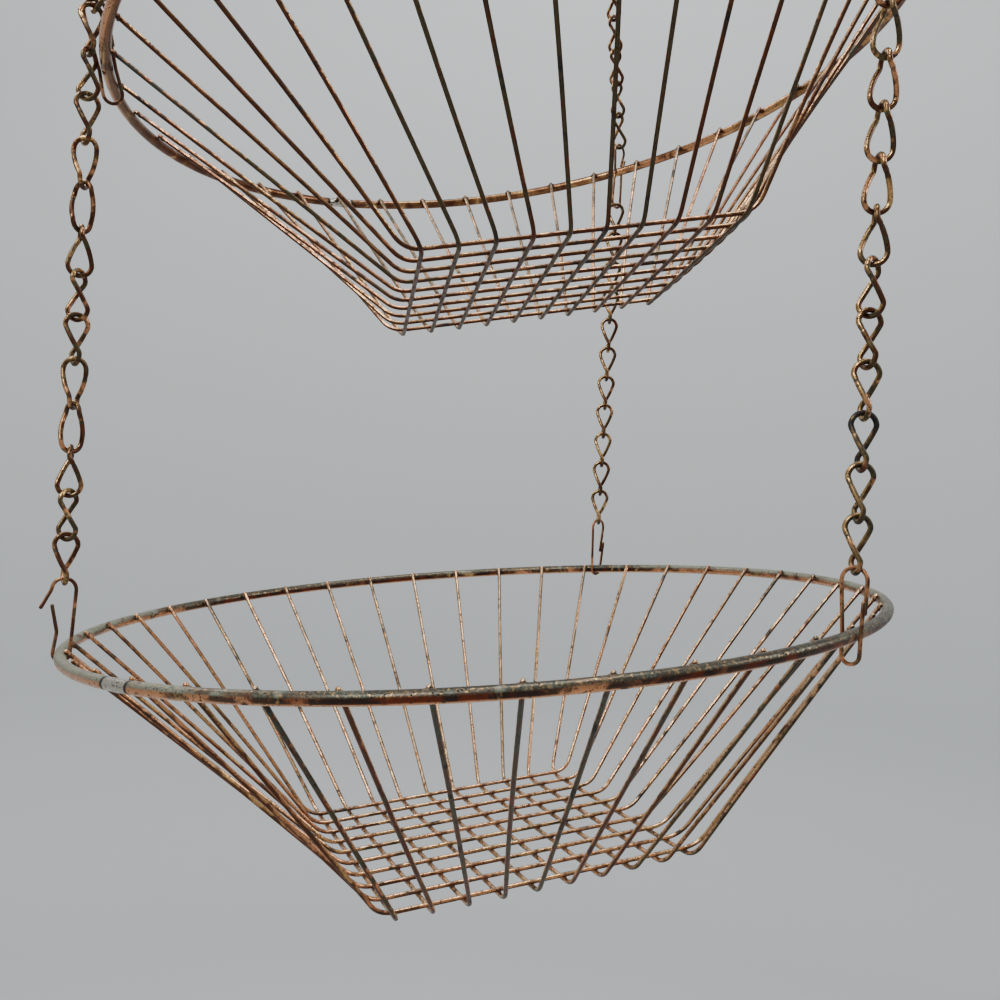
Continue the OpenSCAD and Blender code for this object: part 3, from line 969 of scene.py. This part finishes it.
class HookOperator(bpy.types.Operator):
    """Six bent wire hooks that hold the rims"""

    bl_idname = "fruit_basket.hooks"
    bl_label = "Hooks"

    def execute(self, context):
        layout = Layout(context.scene)
        hook = layout.hook
        upper_turns = (hook.left_up, 0, hook.back_up)
        upper_steps = (hook.left_step, 0, 0)
        lower_turns = (0, 0, hook.back_low)
        opened = (hook.sprung, 0, 0)
        for side, name in enumerate(SIDES):
            tone = 0.2 + 0.25 * side
            waist = layout.rim_seat / abs(math.cos(upper_turns[side] - upper_steps[side]))
            top = layout.upper_tops[side]
            bm = hook_shape(hook, top, layout.upper_span - top, hook.foot, waist, 0, tone)
            facing = layout.chain_at[side] + upper_turns[side]
            turn = aimed(layout.upper_ups[side], facing)
            place = Matrix.Translation(layout.upper_seats[side]) @ turn
            bmesh.ops.transform(bm, matrix=place, verts=bm.verts)
            node = "upper_hook_" + name
            place_piece(bm, node + "_wire", node, finish_for(node))

            waist = layout.rim_seat / abs(math.cos(lower_turns[side]))
            top = layout.lower_tops[side]
            foot = layout.lower_span - top
            bm = hook_shape(hook, top, foot, waist, waist, opened[side], tone + 0.1)
            facing = layout.chain_at[side] + lower_turns[side]
            turn = Matrix.Rotation(facing, 4, "Z")
            place = Matrix.Translation(layout.lower_seats[side]) @ turn
            bmesh.ops.transform(bm, matrix=place, verts=bm.verts)
            node = "lower_hook_" + name
            place_piece(bm, node + "_wire", node, finish_for(node))
        return {"FINISHED"}


RIM_STEPS = 360
RIM_SIDES = 20
BEAD = 0.04
BEAD_REACH = math.radians(0.8)
BAND_REACH = math.radians(2.6)


class RimOperator(bpy.types.Operator):
    """Two rims of round rod, each butt welded into a ring"""

    bl_idname = "fruit_basket.rims"
    bl_label = "Rims"

    def execute(self, context):
        layout = Layout(context.scene)
        basket = layout.basket
        tiers = {
            "lower": (layout.lower, basket.butt_weld), "upper": (layout.upper, basket.butt_weld_up),
        }
        for tier, (place, weld_at) in tiers.items():
            turns = [math.radians(360) * k / RIM_STEPS for k in range(RIM_STEPS)]
            path = [place @ (basket.rim_r * Vector((math.cos(a), math.sin(a), 0))) for a in turns]
            away = [abs(math.remainder(a - weld_at, math.radians(360))) for a in turns]
            welds = [max(0.0, 1 - (off / BAND_REACH) ** 4) for off in away]
            swells = [1 + BEAD * max(0.0, 1 - off / BEAD_REACH) for off in away]
            bm = new_shape()
            sweep(
                bm, path, basket.rim_rod / 2, RIM_SIDES, closed=True, tone=0.3,
                welds=welds, swells=swells,
            )
            node = tier + "_rim"
            place_piece(bm, node + "_rod", node, finish_for(node))
        return {"FINISHED"}


WIRE_SIDES = 10
FLOOR_STEPS = 5
BEND_STEPS = 6
SIDE_STEPS = 14
WELD_REACH = 0.002
RIM_LUMP = (0.0008, 0.0019, 0.0013)
LUMP_RISE = 0.0007
FLOOR_LUMP = (0.00085, 0.00085, 0.0004)


def weld_point(basket, y, at):
    """Where a wire that bends up from the floor's corner meets the rim, round at an angle."""
    corner_x = floor_half(basket)
    out = Vector((math.cos(at), math.sin(at), 0))
    run = (basket.rim_r * out - Vector((corner_x, y, 0))).length
    lap = (basket.rim_rod + basket.wire) / 2 + basket.weld_gap
    first = lap / math.sin(math.atan2(basket.depth, run))
    true = lap / math.sin(math.atan2(basket.depth, run - first))
    return (basket.rim_r - true) * out


def floor_half(basket):
    return (basket.wires - 1) / 2 * basket.pitch + basket.edge


def wire_half(basket, y, z, at, rng):
    """Points and weld marks of half a wire, from the middle of the floor out to +X."""
    weld = weld_point(basket, y, at)
    rise = Vector((0, weld.y - y, weld.z - z))
    drop = rise.length
    slope = math.atan2(drop, weld.x - floor_half(basket))
    start = floor_half(basket) - basket.bend_r * math.tan(slope / 2)
    step = basket.pitch / 2 / FLOOR_STEPS
    flat = [(step * k, 0.0) for k in range(math.floor(start / step))]
    bend = [
        (start + basket.bend_r * math.sin(a), basket.bend_r * (1 - math.cos(a)))
        for a in (slope * k / BEND_STEPS for k in range(BEND_STEPS + 1))
    ]
    past = basket.tip / math.sin(slope)
    tip = (weld.x + past * math.cos(slope), drop + past * math.sin(slope))
    side = [
        tuple(b + (t - b) * k / SIDE_STEPS for b, t in zip(bend[-1], tip))
        for k in range(1, SIDE_STEPS + 1)
    ]
    bow_y, bow_out = (rng.uniform(-1, 1) * basket.side_bow for _ in range(2))
    points, marks = [], []
    for k, (out, up) in enumerate(flat + bend + side):
        share = max(0, k - len(flat) - len(bend) + 1) / SIDE_STEPS
        bulge = math.sin(math.pi * min(1, share * 1.1))
        points.append(
            Vector((out, y, z)) + up * rise / drop + bulge * Vector((bow_out, bow_y, 0))
        )
        off_crossing = abs(math.remainder(out / basket.pitch - 0.5, 1)) * basket.pitch
        off_rim = abs(up - drop)
        near = off_crossing if k < len(flat) else off_rim
        marks.append(max(0.0, 1 - near / WELD_REACH))
    return points, marks, weld


def nugget(bm, place, size, tone):
    """Small lump of weld metal."""
    matrix = place @ Matrix.Diagonal((*size, 1))
    verts = bmesh.ops.create_icosphere(bm, subdivisions=1, radius=1, matrix=matrix)["verts"]
    mark(bm, verts, tone, 1.0)


class WireOperator(bpy.types.Operator):
    """Forty bent wires that make the two baskets, spot welded to the rims and to each other"""

    bl_idname = "fruit_basket.wires"
    bl_label = "Basket wires"

    def execute(self, context):
        layout = Layout(context.scene)
        basket = layout.basket
        rng = random.Random(13)
        lifted = basket.wire + basket.weld_gap
        sets = {"long": (lifted - basket.depth, 0), "cross": (-basket.depth, math.radians(90))}
        weld_step = math.radians(360) / (4 * basket.wires)
        flip = Matrix.Diagonal((-1, 1, 1))
        for tier, frame_of in (("lower", layout.lower), ("upper", layout.upper)):
            for kind, (z, turn) in sets.items():
                bm = new_shape()
                for k in range(basket.wires):
                    place = k - (basket.wires - 1) / 2
                    y, tone = place * basket.pitch, rng.random()
                    tone = 0.75 * tone if kind == "long" else 0.4 + 0.6 * tone
                    path, welds = [], []
                    for mirrored in (True, False):
                        shift = -basket.weld_turn if mirrored else basket.weld_turn
                        at = place * weld_step + shift
                        points, marks, weld = wire_half(basket, y, z, at, rng)
                        out = Vector((math.cos(at), math.sin(at), 0))
                        touch = weld + basket.wire / 2 * out + LUMP_RISE * UP
                        if mirrored:
                            path = [flip @ point for point in reversed(points)][:-1]
                            welds = marks[:0:-1]
                            touch, at = flip @ touch, math.pi - at
                        else:
                            path, welds = path + points, welds + marks
                        lump = Matrix.Translation(touch) @ Matrix.Rotation(at, 4, "Z")
                        nugget(bm, lump, RIM_LUMP, tone)
                    ends = domed(path, basket.wire / 2, welds)
                    sweep(bm, radius=basket.wire / 2, sides=WIRE_SIDES, tone=tone, **ends)
                    if kind == "long":
                        for other in range(basket.wires):
                            x = (other - (basket.wires - 1) / 2) * basket.pitch
                            spot = Matrix.Translation((x, y, z - lifted / 2))
                            nugget(bm, spot, FLOOR_LUMP, tone)
                rise = bm.verts.layers.float.new("rise")
                for vert in bm.verts:
                    vert[rise] = 1 + vert.co.z / basket.depth
                whole = frame_of @ Matrix.Rotation(turn, 4, "Z")
                bmesh.ops.transform(bm, matrix=whole, verts=bm.verts)
                node = f"{tier}_{kind}_wires"
                place_piece(bm, f"{tier}_{kind}_wire_set", node, finish_for(node))
        return {"FINISHED"}


LIGHTS = {
    "key_light": ((-1.5, -1.1, 1.2), 0.8, 46),
    "fill_light": ((1.7, -0.9, 0.6), 0.8, 18),
    "back_light": ((-0.9, 1.5, 1.1), 0.9, 14),
    "top_light": ((0.2, -0.1, 1.5), 0.9, 34),
}
WALL_LIGHT = ((0.5, 0.9, 1.9), 1.4, 44)
WALL_AIM = (1.1, 2.6, 1.2)
WORLD_LIGHT = 0.2
AIM_DEPTH = 0.5


def room_material(colours):
    """Plain matt paint with a trace of unevenness."""
    finish = Finish("pale_paint", colours.wall, 0.85, metallic=0.0, relief=0.0004)
    finish.roughness = finish.blended(finish.cloud(0.4), 0.8, 0.9)
    return finish.done()


class StageOperator(bpy.types.Operator):
    """Round pale room, five soft lights and the camera at the photograph's place"""

    bl_idname = "fruit_basket.stage"
    bl_label = "Stage"

    def execute(self, context):
        scene, sizes = context.scene, context.scene.stage_sizes
        cove_middle = Vector((sizes.room_r - sizes.cove, 0, sizes.cove - sizes.floor))
        profile = [Vector((0, 0, -sizes.floor)), *arc(cove_middle, sizes.cove, -90, 0, 16)]
        profile.append(Vector((sizes.room_r, 0, sizes.top)))
        bm = bmesh.new()
        verts = [bm.verts.new(point) for point in profile]
        edges = [bm.edges.new(pair) for pair in zip(verts, verts[1:])]
        bmesh.ops.spin(
            bm, geom=verts + edges, axis=UP, cent=(0, 0, 0), angle=math.radians(360), steps=96,
            use_merge=True,
        )
        bmesh.ops.remove_doubles(bm, verts=bm.verts, dist=1e-5)
        for face in bm.faces:
            face.smooth = True
        mesh = bpy.data.meshes.new("round_room")
        bm.to_mesh(mesh)
        bm.free()
        mesh.materials.append(room_material(scene.basket_colours))
        room = bpy.data.objects.new("round_room", mesh)
        scene.collection.objects.link(room)

        aims = {name: Vector((0, 0, -AIM_DEPTH)) for name in LIGHTS}
        aims["wall_light"] = Vector(WALL_AIM)
        for name, (place, size, power) in {**LIGHTS, "wall_light": WALL_LIGHT}.items():
            lamp = bpy.data.lights.new(name, "AREA")
            lamp.size, lamp.energy = size, power
            light = bpy.data.objects.new(name, lamp)
            light.location = place
            light.rotation_euler = (aims[name] - light.location).to_track_quat("-Z", "Y").to_euler()
            light.visible_camera = False
            scene.collection.objects.link(light)
        world = bpy.data.worlds.new("soft_grey")
        world.use_nodes = True
        sky = world.node_tree.nodes["Background"]
        sky.inputs["Color"].default_value = (0.9, 0.94, 1, 1)
        sky.inputs["Strength"].default_value = WORLD_LIGHT
        scene.world = world

        lens = bpy.data.cameras.new("front_camera")
        lens.lens, lens.sensor_width = sizes.lens, 36
        lens.clip_start = 0.01
        camera = bpy.data.objects.new("front_camera", lens)
        level = math.cos(sizes.elevation)
        sight = Vector(
            (level * math.sin(sizes.azimuth), level * math.cos(sizes.azimuth),
             math.sin(sizes.elevation))
        )
        turn = sight.to_track_quat("-Z", "Y") @ Quaternion(UP, sizes.roll)
        camera.rotation_euler = turn.to_euler()
        camera.location = middle_of("lower_rim") + Vector(sizes.eye)
        scene.collection.objects.link(camera)
        scene.camera = camera
        return {"FINISHED"}


OPERATORS = (
    RimOperator, WireOperator, HookOperator, ChainOperator, UpperChainOperator, RingOperator,
    StageOperator,
)


class BasketPanel(bpy.types.Panel):
    """Steps that model and dress the basket"""

    bl_idname = "VIEW3D_PT_fruit_basket"
    bl_label = "Fruit Basket"
    bl_space_type = "VIEW_3D"
    bl_region_type = "UI"
    bl_category = "Fruit Basket"

    def draw(self, context):
        for operator in OPERATORS:
            self.layout.operator(operator.bl_idname)


def register():
    for made in (*GROUPS.values(), *OPERATORS, BasketPanel):
        bpy.utils.register_class(made)
    for name, group in GROUPS.items():
        setattr(bpy.types.Scene, name, PointerProperty(type=group))


def unregister():
    for name in GROUPS:
        delattr(bpy.types.Scene, name)
    for made in reversed((*GROUPS.values(), *OPERATORS, BasketPanel)):
        bpy.utils.unregister_class(made)


def main():
    """Builds the whole basket and its stage."""
    register()
    bpy.ops.fruit_basket.rims()
    bpy.ops.fruit_basket.wires()
    bpy.ops.fruit_basket.hooks()
    bpy.ops.fruit_basket.chains()
    bpy.ops.fruit_basket.upper_chains()
    bpy.ops.fruit_basket.ring()
    bpy.ops.fruit_basket.stage()


if __name__ == "__main__":
    main()
